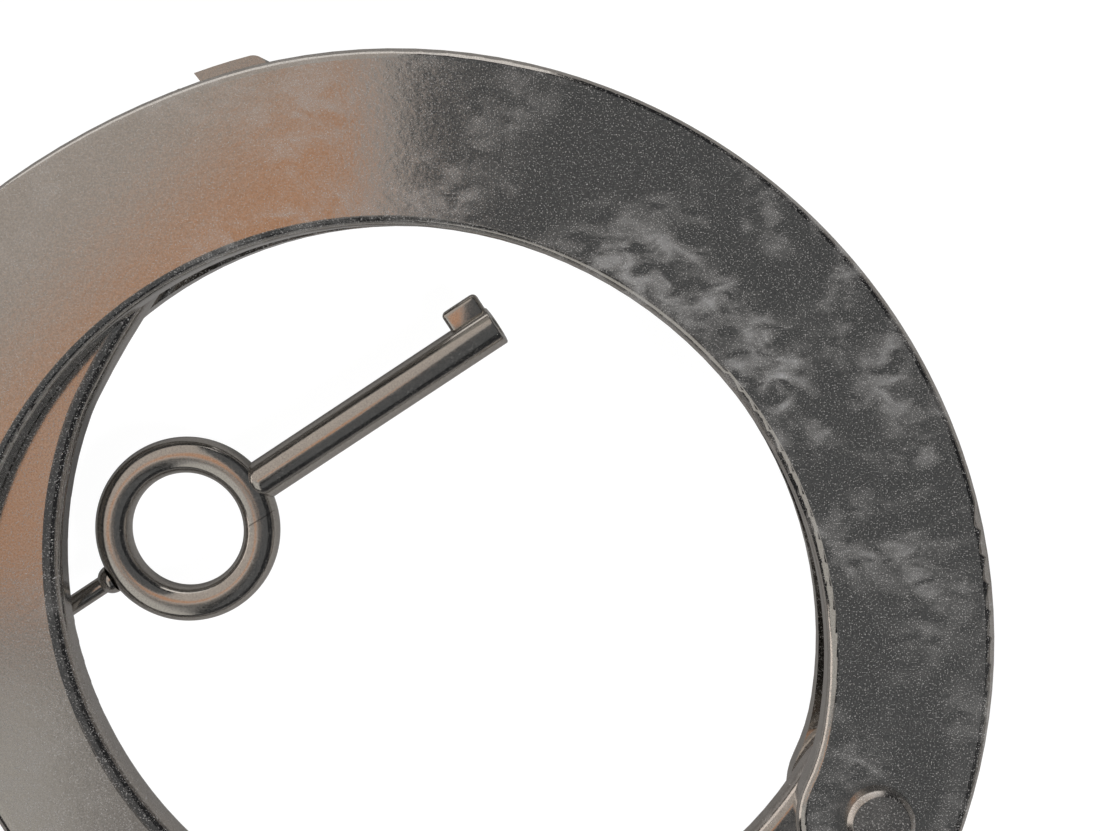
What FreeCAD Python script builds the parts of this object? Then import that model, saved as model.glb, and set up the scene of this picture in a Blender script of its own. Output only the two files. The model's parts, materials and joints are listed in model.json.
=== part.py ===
import FreeCAD, Part
import math
import os

# A pair of chain-linked handcuffs and their key, lying flat.  Millimetres, +Z up, Z = 0 is the
# surface that the cuffs lie on, and the origin is midway along the chain.
# Each cuff is drawn in its own frame, centred on its arch, and is then put in place twice.

Vec = FreeCAD.Vector
UP = Vec(0, 0, 1)
ALONG = Vec(1, 0, 0)

# ---- plates and their spacing ----
CHEEK_T = 3.0            # thickness of one cheek plate
CASE_GAP = 4.2           # space between the two cheeks
JAW_SIDE_GAP = 0.2       # play between the jaw and a cheek
CHEEK_EDGE_R = 0.75      # rounded outer edges of the cheeks
JAW_EDGE_R = 1.2         # rounded edges of the jaw

# ---- arch ----
ARCH_R = 44.0            # outer edge, about the cuff's own centre
PIVOT_R = 37.88          # distance of the jaw's pivot from that centre
PIVOT_DEG = -20.14
BORE_C = Vec(-0.49, -1.03, 0)  # centre of the arch's inner edge
BORE_R = 32.29
END_BLEND_R = 16.0       # where the inner edge turns into the round pivot end
FLARE_DEG = 108.0        # where the outer edge leaves the circle
FLARE_R = 58.7
FLARE_TURN_DEG = 17.6

# ---- lock case ----
CASE_X = -57.0           # flat outer face, where the chain leaves
CASE_Y = -10.0           # lower edge, beside the jaw's mouth
CASE_CORNER_TOP = 10.0
CASE_CORNER_LOW = 7.0
MOUTH_R = 2.0
SPACER_INSET = 0.3       # the spacer stands back from the cheeks' edges
SPACER_TOP_DEG = 146.5   # the spacer's end beside the arch, seen from the pivot
CHANNEL_GAP = 0.35       # play outside the jaw's teeth
CASE_WALL = 2.2

# ---- jaw, seen from the pivot ----
TOOTH_TIP_R = 74.9
TOOTH_DEPTH = 1.2
TOOTH_PITCH_DEG = 1.5
TOOTH_FIRST_DEG = 132.0  # where the nose drops to the first tooth
TOOTH_RAMP = 0.8         # share of the pitch that is the sloping face
TOOTH_LAND = 0.95
JAW_UPPER_R = 66.65      # inner edge of the toothed part
JAW_LOWER_C = Vec(4.3, 5.7, 0)     # centre of the lower inner edge
JAW_BACK_C = Vec(5.16, 6.85, 0)    # centre of the lower outer edge
JAW_BLEND_R = 15.0
NOSE_R = 1.1
NOSE_DEG = 103.2         # the nose's round corner, seen from the arch's centre
NOSE_BACK_DEG = 135.5

# ---- rivets ----
PIVOT_SHANK_R = 2.1
PIVOT_HEAD_R = 2.52
PIVOT_HEAD_H = 1.1
CASE_SHANK_R = 1.3
CASE_HEAD_R = 1.75
CASE_HEAD_H = 0.6
HEAD_BEVEL = 0.3
PEEN_DEPTH = 0.8         # countersink filled by the flush rear end
PEEN_SPREAD = 0.7
CASE_RIVET_WALL = 1.45   # metal around a case rivet
RIVETS = [Vec(-36.7, 25.0, 0), Vec(-43.9, -7.4, 0), Vec(-51.6, 12.4, 0)]
TURN_GAP = 0.05          # radial clearance of every turning fit

# ---- pawl, double lock and key post ----
PAWL_PIVOT = Vec(-41.9, 5.6, 0)
PAWL_PIN_R = 1.2
PAWL_PIN_SEAT = 1.2      # depth of the pin's seats in the cheeks
PAWL_HUB_R = 2.55
PAWL_LIFT_DEG = 7.5      # from engaged to held clear of the teeth
PAWL_ARM_W = 4.6
PAWL_ARM_DEG = (155.8, 166.5)
PAWL_TOOTH_DEG = (157.5, 159.0, 160.5)
PAWL_TOOTH_BACKLASH_DEG = 0.28
PAWL_TOOTH_GAP = 0.4     # between a pawl tooth's tip and the jaw's tooth roots
PAWL_ARM_GAP = 0.15      # between the engaged arm and the jaw's tooth tips
PAWL_TAIL = Vec(-43.2, -2.2, 0)
PAWL_TAIL_R = 1.1
PAWL_HORN = Vec(-49.5, 5.8, 0)
PAWL_HORN_R = 0.8
POST = Vec(-47.0, -2.6, 0)
POST_R = 0.8
POST_TOP_GAP = 1.0       # the post ends below the front face
BAR_X = (-51.3, -49.3)
BAR_Y = (-7.5, 2.4)
BAR_SIDE_GAP = 0.25      # play between the small moving parts and a cheek
SPRING_T = 0.45
BAR_SPRING_GAP = 0.1

# ---- key ----
KEY_BOW_R = 7.25
KEY_BOW_HOLE_R = 4.45
KEY_BOW_T = 2.8
KEY_BOW_EDGE_R = 0.7
KEY_R = 1.6              # barrel
KEY_BORE_R = 0.9
KEY_LEN = 29.1           # bow centre to the tip of the barrel
KEY_BARREL_START = 5.9
KEY_BARREL_END_R = 1.0
KEY_BIT_LEN = 3.1
KEY_BIT_H = 1.45
KEY_BIT_T = 1.3
KEY_BIT_BACK = 0.1       # the bit stands back from the barrel's tip
KEY_BIT_CORNER = 0.3
KEY_PIN_R = 0.72
KEY_PIN_LEN = 12.6       # bow centre to the tip of the pin
KEY_BEAD_R = 1.15
KEY_GAP = 0.15           # play around the key in the keyhole
KEY_BOW = Vec(-17.23, 7.9, 0)
KEY_DEG = 32.6

# ---- chain ----
SWIVEL_Y = 3.0           # height of the chain's line beside the cuff's centre
WIRE_R = 1.5
EYE_R = 3.5              # centre line of a swivel's eye and of a link's rounded ends
EYE_OUT = 6.2            # centre of the eye from the case's face
LINK_PITCH = 19.0        # end bar to end bar
CHAIN_GAP = 0.25         # play where two links hang on each other
STEM_R = 1.75
STEM_HEAD_R = 2.9
STEM_HEAD_T = 2.0
STEM_WALL = 3.0
COLLAR_R = 2.6
COLLAR_T = 1.0
COLLAR_GAP = 0.2

# ---- worked out from the sizes above ----
CUFF_T = 2 * CHEEK_T + CASE_GAP
MID_Z = CUFF_T / 2
FRONT_Z = CHEEK_T + CASE_GAP
END_R = ARCH_R - PIVOT_R
TOOTH_ROOT_R = TOOTH_TIP_R - TOOTH_DEPTH
CHANNEL_R = TOOTH_TIP_R + CHANNEL_GAP
JAW_Z = CHEEK_T + JAW_SIDE_GAP
JAW_T = CASE_GAP - 2 * JAW_SIDE_GAP
KEY_BOW_Z = KEY_R - KEY_BOW_T / 2
CONTACT = 2 * WIRE_R + CHAIN_GAP
CHAIN_HALF = (2 * LINK_PITCH + 2 * (EYE_OUT + EYE_R) - 3 * CONTACT) / 2
CUFF_X = CHAIN_HALF - CASE_X


def polar(r, deg, centre=Vec(0, 0, 0)):
    """The point at radius r and angle deg about centre."""
    a = math.radians(deg)
    return centre + Vec(r * math.cos(a), r * math.sin(a), 0)


def angle_of(point, centre):
    """The angle of point about centre, in degrees from 0 to 360."""
    d = point - centre
    return math.degrees(math.atan2(d.y, d.x)) % 360


PIVOT = polar(PIVOT_R, PIVOT_DEG)
JAW_LOWER_R = (PIVOT - JAW_LOWER_C).Length - END_R
JAW_BACK_R = (PIVOT - JAW_BACK_C).Length + END_R


# ---------------------------------------------------------------- drawing helpers

def line(p, q):
    return Part.LineSegment(p, q).toShape()


def arc(centre, r, start_deg, end_deg):
    """An arc from start to end, turning the way that the angles run."""
    mid = (start_deg + end_deg) / 2
    ends = (polar(r, start_deg, centre), polar(r, end_deg, centre))
    return Part.Arc(ends[0], polar(r, mid, centre), ends[1]).toShape()


def chain_points(points):
    return [line(p, q) for p, q in zip(points, points[1:])]


def slab(edges, z, height):
    """A plate of the closed outline, from z upwards."""
    face = Part.Face(Part.Wire(edges))
    solid = face.extrude(Vec(0, 0, height))
    solid.translate(Vec(0, 0, z))
    return solid


def disc(centre, r, z, height):
    return Part.makeCylinder(r, height, Vec(centre.x, centre.y, z), UP)


def capsule(p, q, r, z, height):
    """A bar with round ends, from p to q."""
    side = (q - p).normalize().cross(UP) * r
    body = slab(chain_points([p + side, q + side, q - side, p - side, p + side]), z, height)
    return body.fuse([disc(p, r, z, height), disc(q, r, z, height)]).removeSplitter()


def tangent_corner(before, corner, after, r):
    """The arc of radius r that rounds a corner: its start, its edge and its end."""
    u = (before - corner).normalize()
    v = (after - corner).normalize()
    half = u.getAngle(v) / 2
    start = corner + u * (r / math.tan(half))
    end = corner + v * (r / math.tan(half))
    centre = corner + (u + v).normalize() * (r / math.sin(half))
    mid = centre + (corner - centre).normalize() * r
    return start, Part.Arc(start, mid, end).toShape(), end


def circle_meet(c1, r1, c2, r2, turn):
    """Where two circles meet, on the side that turn (1 or -1) picks going from c1 to c2."""
    d = (c2 - c1).Length
    swing = math.degrees(math.acos((r1 * r1 + d * d - r2 * r2) / (2 * r1 * d)))
    return polar(r1, angle_of(c2, c1) + turn * swing, c1)


def round_edges(solid, r, wanted):
    """Rounds the edges for which wanted(edge) is true."""
    return solid.makeFillet(r, [e for e in solid.Edges if wanted(e)])


def at_height(edge, z):
    box = edge.BoundBox
    return abs(box.ZMin - z) < 1e-4 and abs(box.ZMax - z) < 1e-4


def single(shape):
    """The one solid of a finished piece."""
    clean = shape.removeSplitter()
    return clean.Solids[0] if len(clean.Solids) == 1 else clean


# ---------------------------------------------------------------- outline of a cheek

FLARE_START = polar(ARCH_R, FLARE_DEG)
FLARE_C = polar(ARCH_R - FLARE_R, FLARE_DEG)
SHOULDER = polar(FLARE_R, FLARE_DEG + FLARE_TURN_DEG, FLARE_C)
SHOULDER_OUT = polar(1, FLARE_DEG + FLARE_TURN_DEG)
SHOULDER_DIR = UP.cross(SHOULDER_OUT)


def shoulder_at(x, inset):
    """The point of the case's sloping shoulder at x, set inwards by inset."""
    base = SHOULDER - SHOULDER_OUT * inset
    return base + SHOULDER_DIR * ((x - base.x) / SHOULDER_DIR.x)


def case_edges(start, inset):
    """The lock case's outer edge from the shoulder to the lower edge, and its last corner."""
    top = shoulder_at(CASE_X + inset, inset)
    low = Vec(CASE_X + inset, CASE_Y + inset, 0)
    a, corner_top, b = tangent_corner(start, top, low, CASE_CORNER_TOP - inset)
    c, corner_low, d = tangent_corner(top, low, low + ALONG, CASE_CORNER_LOW - inset)
    return [line(start, a), corner_top, line(b, c), corner_low], d


def cheek_edges():
    """The closed outline of a cheek plate, anticlockwise from the pivot's end."""
    mouth_c = Vec(0, CASE_Y + MOUTH_R, 0)
    rise = mouth_c.y - BORE_C.y
    mouth_c.x = BORE_C.x - math.sqrt((BORE_R + MOUTH_R) ** 2 - rise ** 2)
    mouth_deg = angle_of(mouth_c, BORE_C)
    blend_c = circle_meet(BORE_C, BORE_R - END_BLEND_R, PIVOT, END_R + END_BLEND_R, 1)
    bore_end = angle_of(blend_c, BORE_C) - 360
    blend_end = angle_of(PIVOT, blend_c) - 360
    edges = [arc(Vec(0, 0, 0), ARCH_R, PIVOT_DEG, FLARE_DEG)]
    edges.append(arc(FLARE_C, FLARE_R, FLARE_DEG, FLARE_DEG + FLARE_TURN_DEG))
    case, lower = case_edges(SHOULDER, 0)
    edges += case
    edges.append(line(lower, Vec(mouth_c.x, CASE_Y, 0)))
    edges.append(arc(mouth_c, MOUTH_R, -90, mouth_deg - 180))
    edges.append(arc(BORE_C, BORE_R, mouth_deg, bore_end))
    edges.append(arc(blend_c, END_BLEND_R, bore_end, blend_end))
    edges.append(arc(PIVOT, END_R, blend_end + 180, 360 + PIVOT_DEG))
    return edges


def swivel_seat(extra):
    """The swivel's stem and head as a turned shape, larger all round by extra."""
    mouth = Vec(CASE_X - 1, SWIVEL_Y, MID_Z)
    stem = Part.makeCylinder(STEM_R + extra, STEM_WALL + 2, mouth, ALONG)
    head_x = CASE_X + STEM_WALL + TURN_GAP - extra
    head = Part.makeCylinder(STEM_HEAD_R + extra, STEM_HEAD_T + 2 * extra, Vec(head_x, SWIVEL_Y, MID_Z), ALONG)
    return stem.fuse(head)


def keyhole():
    """The round hole for the key's barrel with the slot for its bit."""
    z = FRONT_Z - 1
    round_part = disc(POST, KEY_R + KEY_GAP, z, CHEEK_T + 2)
    slot_end = polar(KEY_R + KEY_BIT_H + KEY_GAP - KEY_BIT_T / 2, 225, POST)
    slot = capsule(POST, slot_end, KEY_BIT_T / 2 + KEY_GAP, z, CHEEK_T + 2)
    return round_part.fuse(slot)


def peen_cone(centre, r):
    """The countersink at the rear face that a rivet's flush end fills."""
    return Part.makeCone(r + PEEN_SPREAD, r, PEEN_DEPTH, Vec(centre.x, centre.y, 0), UP)


def front_cheek():
    top = CUFF_T
    plate = slab(cheek_edges(), FRONT_Z, CHEEK_T)
    plate = round_edges(plate, CHEEK_EDGE_R, lambda e: at_height(e, top))
    cuts = [disc(PIVOT, PIVOT_SHANK_R, 0, CUFF_T), keyhole(), swivel_seat(TURN_GAP)]
    cuts += [disc(r, CASE_SHANK_R, 0, CUFF_T) for r in RIVETS]
    cuts.append(disc(PAWL_PIVOT, PAWL_PIN_R, 0, FRONT_Z + PAWL_PIN_SEAT))
    return single(plate.cut(cuts))


def rear_cheek():
    plate = slab(cheek_edges(), 0, CHEEK_T)
    plate = round_edges(plate, CHEEK_EDGE_R, lambda e: at_height(e, 0))
    cuts = [disc(PIVOT, PIVOT_SHANK_R, 0, CUFF_T), peen_cone(PIVOT, PIVOT_SHANK_R), swivel_seat(TURN_GAP)]
    for r in RIVETS:
        cuts += [disc(r, CASE_SHANK_R, 0, CUFF_T), peen_cone(r, CASE_SHANK_R)]
    cuts.append(disc(PAWL_PIVOT, PAWL_PIN_R, CHEEK_T - PAWL_PIN_SEAT, CUFF_T))
    cuts.append(disc(POST, POST_R, 0, CHEEK_T))
    return single(plate.cut(cuts))


# ---------------------------------------------------------------- jaw

def tooth_edges(heel):
    """The ratchet teeth from the nose's end to the heel: each rises slowly and drops steeply."""
    heel_deg = angle_of(heel, PIVOT)
    count = int((heel_deg - TOOTH_FIRST_DEG) / TOOTH_PITCH_DEG + 1 - TOOTH_LAND)
    nose_end = TOOTH_FIRST_DEG - (1 - TOOTH_LAND) * TOOTH_PITCH_DEG
    points = [polar(TOOTH_TIP_R, nose_end, PIVOT), polar(TOOTH_ROOT_R, TOOTH_FIRST_DEG, PIVOT)]
    for i in range(count):
        deg = TOOTH_FIRST_DEG + i * TOOTH_PITCH_DEG
        drop = deg + TOOTH_PITCH_DEG if i < count - 1 else heel_deg
        points.append(polar(TOOTH_TIP_R, deg + TOOTH_RAMP * TOOTH_PITCH_DEG, PIVOT))
        points.append(polar(TOOTH_TIP_R, drop - (1 - TOOTH_LAND) * TOOTH_PITCH_DEG, PIVOT))
        points.append(polar(TOOTH_ROOT_R, drop, PIVOT))
    return points


def tangent_point(point, centre, r, turn):
    """Where a line from point touches a circle."""
    d = (point - centre).Length
    swing = math.degrees(math.acos(r / d))
    return polar(r, angle_of(point, centre) + turn * swing, centre)


def jaw_edges():
    """The jaw's outline, anticlockwise: teeth, heel, lower body, pivot end, inner edge, nose."""
    heel = circle_meet(PIVOT, TOOTH_ROOT_R, JAW_BACK_C, JAW_BACK_R, 1)
    teeth = tooth_edges(heel)
    pivot_out = angle_of(PIVOT, JAW_BACK_C)
    pivot_in = angle_of(PIVOT, JAW_LOWER_C)
    blend_c = circle_meet(PIVOT, JAW_UPPER_R - JAW_BLEND_R, JAW_LOWER_C, JAW_LOWER_R - JAW_BLEND_R, 1)
    blend_low = angle_of(blend_c, JAW_LOWER_C)
    blend_up = angle_of(blend_c, PIVOT)
    crown_r = teeth[0].Length
    nose_c = polar(crown_r - NOSE_R, NOSE_DEG)
    back = polar(JAW_UPPER_R, NOSE_BACK_DEG, PIVOT)
    nose_in = tangent_point(back, nose_c, NOSE_R, 1)
    edges = chain_points(teeth)
    edges.append(arc(JAW_BACK_C, JAW_BACK_R, angle_of(heel, JAW_BACK_C), pivot_out))
    edges.append(arc(PIVOT, END_R, pivot_out, pivot_in + 180))
    edges.append(arc(JAW_LOWER_C, JAW_LOWER_R, pivot_in, blend_low))
    edges.append(arc(blend_c, JAW_BLEND_R, blend_low, blend_up))
    edges.append(arc(PIVOT, JAW_UPPER_R, blend_up, NOSE_BACK_DEG))
    edges.append(line(back, nose_in))
    nose_start = angle_of(nose_in, nose_c)
    edges.append(arc(nose_c, NOSE_R, nose_start, NOSE_DEG + 360 * (NOSE_DEG < nose_start)))
    edges.append(arc(Vec(0, 0, 0), crown_r, NOSE_DEG, angle_of(teeth[0], Vec(0, 0, 0))))
    return edges


def jaw():
    blank = slab(jaw_edges(), JAW_Z, JAW_T)
    faces = (JAW_Z, JAW_Z + JAW_T)

    def smooth_edge(edge):
        flat = at_height(edge, faces[0]) or at_height(edge, faces[1])
        long_arc = hasattr(edge.Curve, "Radius") and edge.Length > 2 * END_R
        return flat and long_arc

    body = round_edges(blank, JAW_EDGE_R, smooth_edge)
    return single(body.cut(disc(PIVOT, PIVOT_SHANK_R + TURN_GAP, 0, CUFF_T)))


# ---------------------------------------------------------------- rivets, spacer and lock parts

def rivet(centre, shank_r, head_r, head_h):
    """A rivet with a raised, bevelled front head and a flush rear end."""
    head = disc(centre, head_r, CUFF_T, head_h)
    head = head.makeChamfer(HEAD_BEVEL, [e for e in head.Edges if at_height(e, CUFF_T + head_h)])
    return single(disc(centre, shank_r, 0, CUFF_T).fuse([peen_cone(centre, shank_r), head]))


def pivot_rivet():
    return rivet(PIVOT, PIVOT_SHANK_R, PIVOT_HEAD_R, PIVOT_HEAD_H)


def case_rivets():
    return Part.makeCompound([rivet(r, CASE_SHANK_R, CASE_HEAD_R, CASE_HEAD_H) for r in RIVETS])


def channel_at(y):
    """The point of the jaw channel's outer wall at height y."""
    rise = y - PIVOT.y
    return Vec(PIVOT.x - math.sqrt(CHANNEL_R ** 2 - rise ** 2), y, 0)


def cavity_edges():
    """The space for the pawl, the bar and the springs, open to the jaw's channel."""
    left = CASE_X + CASE_WALL
    head_side = CASE_X + STEM_WALL + STEM_HEAD_T + 0.25
    floor = CASE_Y + CASE_WALL
    corner = 0.7 * (CASE_CORNER_LOW - CASE_WALL)
    block_low = SWIVEL_Y - STEM_HEAD_R - CASE_WALL / 2
    block_high = SWIVEL_Y + STEM_HEAD_R + CASE_WALL / 2
    boss_top = RIVETS[1].y + CASE_SHANK_R + CASE_RIVET_WALL
    boss_left = RIVETS[1].x - CASE_SHANK_R - CASE_RIVET_WALL
    upper_left = RIVETS[2].x + CASE_SHANK_R + CASE_RIVET_WALL
    upper_y = RIVETS[2].y - CASE_SHANK_R - CASE_RIVET_WALL
    ceiling = RIVETS[0].y - CASE_SHANK_R - 2 * CASE_RIVET_WALL
    past = JAW_BACK_C.x - 0.9 * JAW_BACK_R
    points = [Vec(past, boss_top, 0), Vec(boss_left, boss_top, 0), Vec(boss_left, floor, 0)]
    points += [Vec(left + corner, floor, 0), Vec(left, floor + corner, 0)]
    points += [Vec(left, block_low, 0), Vec(head_side, block_low, 0), Vec(head_side, block_high, 0)]
    points += [Vec(upper_left, upper_y, 0), Vec(upper_left, RIVETS[2].y + CASE_SHANK_R + CASE_RIVET_WALL, 0)]
    points += [shoulder_at(upper_left + CASE_WALL, CASE_WALL + SPACER_INSET)]
    points += [Vec(RIVETS[0].x - 4.9, ceiling, 0), Vec(past, ceiling, 0), Vec(past, boss_top, 0)]
    return chain_points(points)


def case_spacer():
    top_in = polar(CHANNEL_R, SPACER_TOP_DEG, PIVOT)
    base = SHOULDER - SHOULDER_OUT * SPACER_INSET
    ray = polar(1, SPACER_TOP_DEG)
    reach = (base - PIVOT).dot(SHOULDER_OUT) / ray.dot(SHOULDER_OUT)
    top_out = PIVOT + ray * reach
    outer, lower = case_edges(top_out, SPACER_INSET)
    low_in = channel_at(CASE_Y + SPACER_INSET)
    edges = [line(top_in, top_out)] + outer
    edges.append(line(lower, low_in))
    edges.append(arc(PIVOT, CHANNEL_R, angle_of(low_in, PIVOT), SPACER_TOP_DEG))
    wall = slab(edges, CHEEK_T, CASE_GAP)
    bar_x = (BAR_X[0] + BAR_X[1]) / 2
    pin_hole = Part.makeCylinder(KEY_PIN_R + KEY_GAP, 2 * CASE_WALL, Vec(bar_x, CASE_Y - 1, MID_Z), Vec(0, 1, 0))
    cuts = [slab(cavity_edges(), CHEEK_T, CASE_GAP), swivel_seat(TURN_GAP), pin_hole]
    cuts += [disc(r, CASE_SHANK_R, 0, CUFF_T) for r in RIVETS]
    return single(wall.cut(cuts))


def pawl():
    """The ratchet lever, drawn engaged with the jaw and then turned clear of it."""
    z = CHEEK_T + BAR_SIDE_GAP
    height = CASE_GAP - 2 * BAR_SIDE_GAP
    inner = TOOTH_TIP_R + PAWL_ARM_GAP
    outer = inner + PAWL_ARM_W
    low, high = PAWL_ARM_DEG
    arm = [arc(PIVOT, inner, low, high), line(polar(inner, high, PIVOT), polar(outer, high, PIVOT))]
    arm += [arc(PIVOT, outer, high, low), line(polar(outer, low, PIVOT), polar(inner, low, PIVOT))]
    solids = [disc(PAWL_PIVOT, PAWL_HUB_R, z, height)]
    for deg in PAWL_TOOTH_DEG:
        face = deg + PAWL_TOOTH_BACKLASH_DEG
        slope = TOOTH_RAMP * TOOTH_PITCH_DEG - 2 * PAWL_TOOTH_BACKLASH_DEG
        tip = polar(TOOTH_ROOT_R + PAWL_TOOTH_GAP, face, PIVOT)
        points = [tip, polar(inner, face + slope, PIVOT), polar(inner + 0.5, face + slope, PIVOT)]
        points += [polar(inner + 0.5, face, PIVOT), tip]
        solids.append(slab(chain_points(points), z, height))
    upper = slab(arm, z, height).fuse(solids)
    upper.rotate(PAWL_PIVOT, UP, PAWL_LIFT_DEG)
    lower = [capsule(PAWL_PIVOT, PAWL_TAIL, PAWL_TAIL_R, z, height)]
    lower.append(capsule(PAWL_PIVOT, PAWL_HORN, PAWL_HORN_R, z, height))
    body = upper.fuse(lower)
    return single(body.cut(disc(PAWL_PIVOT, PAWL_PIN_R + TURN_GAP, 0, CUFF_T)))


def pawl_pin():
    length = CASE_GAP + 2 * PAWL_PIN_SEAT
    return disc(PAWL_PIVOT, PAWL_PIN_R, CHEEK_T - PAWL_PIN_SEAT, length)


def leaf(points, z, height):
    """A flat spring of SPRING_T along an arc through three points."""
    curve = Part.Arc(*points).toShape().Curve
    middle = curve.Center
    r = curve.Radius
    a, m, b = (angle_of(p, middle) for p in points)
    b = a + (b - a) % 360
    if (m - a) % 360 > b - a:
        b -= 360
    edges = [arc(middle, r, a, b), line(polar(r, b, middle), polar(r + SPRING_T, b, middle))]
    edges += [arc(middle, r + SPRING_T, b, a), line(polar(r + SPRING_T, a, middle), polar(r, a, middle))]
    return slab(edges, z, height)


def pawl_spring(spacer):
    """A leaf from the case's wall to the back of the pawl's arm."""
    z = CHEEK_T + BAR_SIDE_GAP
    wall = RIVETS[2].x + CASE_SHANK_R + CASE_RIVET_WALL
    points = (Vec(wall, 10.6, 0), Vec(-46.2, 14.9, 0), Vec(-40.5, 16.5, 0))
    return single(leaf(points, z, CASE_GAP - 2 * BAR_SIDE_GAP).cut(spacer))


def detent_spring(spacer):
    """A bowed leaf beside the double-lock bar."""
    z = CHEEK_T + BAR_SIDE_GAP
    apex = BAR_X[0] - SPRING_T - BAR_SPRING_GAP
    high = SWIVEL_Y - STEM_HEAD_R - CASE_WALL / 2
    low = high - 3.9
    points = (Vec(apex - 1.35, low, 0), Vec(apex, (low + high) / 2, 0), Vec(apex - 1.35, high, 0))
    return single(leaf(points, z, CASE_GAP - 2 * BAR_SIDE_GAP).cut(spacer))


def double_lock_bar():
    """The sliding bar: a notch for the key's bit, and an end that moves under the pawl's horn."""
    z = CHEEK_T + BAR_SIDE_GAP
    x0, x1 = BAR_X
    y0, y1 = BAR_Y
    depth = 1.0
    notch = (POST.y - KEY_R - KEY_BIT_H, POST.y + KEY_R + KEY_BIT_H)
    points = [Vec(x0, y0, 0), Vec(x1, y0, 0), Vec(x1, notch[0], 0), Vec(x1 - depth, notch[0], 0)]
    points += [Vec(x1 - depth, notch[1], 0), Vec(x1, notch[1], 0), Vec(x1, y1, 0)]
    points += [Vec(x0, y1, 0), Vec(x0, y0, 0)]
    return slab(chain_points(points), z, CASE_GAP - 2 * BAR_SIDE_GAP)


def key_post():
    post = disc(POST, POST_R, 0, CUFF_T - POST_TOP_GAP)
    return post.makeChamfer(POST_R / 3, [e for e in post.Edges if at_height(e, CUFF_T - POST_TOP_GAP)])


# ---------------------------------------------------------------- swivel and chain

def swivel(flat_eye):
    """The headed stem in the case and the eye outside it."""
    axis = Vec(0, SWIVEL_Y, MID_Z)
    head_x = CASE_X + STEM_WALL + TURN_GAP
    face = CASE_X - COLLAR_GAP
    stem = Part.makeCylinder(STEM_R, head_x - face, axis + ALONG * face, ALONG)
    head = Part.makeCylinder(STEM_HEAD_R, STEM_HEAD_T, axis + ALONG * head_x, ALONG)
    collar = Part.makeCylinder(COLLAR_R, COLLAR_T, axis + ALONG * (face - COLLAR_T), ALONG)
    collar = collar.makeFillet(COLLAR_T / 3, collar.Edges)
    eye_x = CASE_X - EYE_OUT
    eye = Part.makeTorus(EYE_R, WIRE_R, axis + ALONG * eye_x, UP)
    neck_start = eye_x + EYE_R
    neck = Part.makeCone(WIRE_R, STEM_R, face - neck_start, axis + ALONG * neck_start, ALONG)
    part = single(stem.fuse([head, collar, eye, neck]))
    if not flat_eye:
        part.rotate(axis, ALONG, 90)
    return part


def chain_link(right_x, normal):
    """A link lying in the plane across normal, its right end bar centred at right_x."""
    right = Vec(right_x - EYE_R, 0, MID_Z)
    left = Vec(right_x - LINK_PITCH + EYE_R, 0, MID_Z)
    side = normal.cross(ALONG) * EYE_R
    bars = [Part.makeCylinder(WIRE_R, (right - left).Length, left + s, ALONG) for s in (side, -side)]
    ends = []
    for centre, away in ((right, 1), (left, -1)):
        ring = Part.makeTorus(EYE_R, WIRE_R, centre, normal)
        size = 3 * EYE_R
        corner = centre - Vec(0 if away > 0 else size, size / 2, size / 2)
        ends.append(ring.common(Part.makeBox(size, size, size, corner)))
    return single(bars[0].fuse([bars[1]] + ends))


# ---------------------------------------------------------------- key

def key_bow():
    faces = (KEY_BOW_Z, KEY_BOW_Z + KEY_BOW_T)
    ring = disc(KEY_BOW, KEY_BOW_R, KEY_BOW_Z, KEY_BOW_T).cut(disc(KEY_BOW, KEY_BOW_HOLE_R, 0, 2 * KEY_BOW_T))
    return round_edges(ring, KEY_BOW_EDGE_R, lambda e: at_height(e, faces[0]) or at_height(e, faces[1]))


def key_part(shape, bow):
    """Turns a piece drawn along X about the bow to the key's direction and takes the bow from it."""
    shape.rotate(Vec(0, 0, 0), UP, KEY_DEG)
    shape.translate(KEY_BOW)
    return single(shape.cut(bow))


def key_barrel(bow):
    """The hollow barrel, let into the bow at its closed end, with the bit near its open end."""
    start = Vec(KEY_BARREL_START, 0, KEY_R)
    tube = Part.makeCylinder(KEY_R, KEY_LEN - KEY_BARREL_START, start, ALONG)
    tube = tube.makeFillet(KEY_BARREL_END_R, [e for e in tube.Edges if e.BoundBox.XMax < KEY_BARREL_START + 0.01])
    bit_x = KEY_LEN - KEY_BIT_BACK - KEY_BIT_LEN
    bit = Part.makeBox(KEY_BIT_LEN, KEY_R + KEY_BIT_H, KEY_BIT_T, Vec(bit_x, 0, KEY_R - KEY_BIT_T / 2))
    bit = bit.makeFillet(KEY_BIT_CORNER, [e for e in bit.Edges if e.BoundBox.YMin > KEY_R])
    bore = Part.makeCylinder(KEY_BORE_R, KEY_LEN, Vec(KEY_LEN / 2, 0, KEY_R), ALONG)
    return key_part(tube.fuse(bit).cut(bore), bow)


def key_pin(bow):
    """The double-lock pin on the far side of the bow, with the bead that it is brazed on by."""
    root = Vec(-KEY_BOW_R + 0.6, 0, KEY_R)
    pin = Part.makeCylinder(KEY_PIN_R, KEY_PIN_LEN - KEY_BOW_R + 0.6, root, Vec(-1, 0, 0))
    pin = pin.makeFillet(KEY_PIN_R / 2, [e for e in pin.Edges if e.BoundBox.XMax < 0.01 - KEY_PIN_LEN])
    bead = Part.makeSphere(KEY_BEAD_R, Vec(-KEY_BOW_R, 0, KEY_R))
    return key_part(pin.fuse(bead), bow)


# ---------------------------------------------------------------- assembly

def place(shape, side):
    """Moves a piece from the cuff's own frame to cuff a, or half a turn round to cuff b."""
    shape.translate(Vec(CUFF_X, -SWIVEL_Y, 0))
    if side == "b":
        shape.rotate(Vec(0, 0, 0), UP, 180)
    return shape


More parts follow.
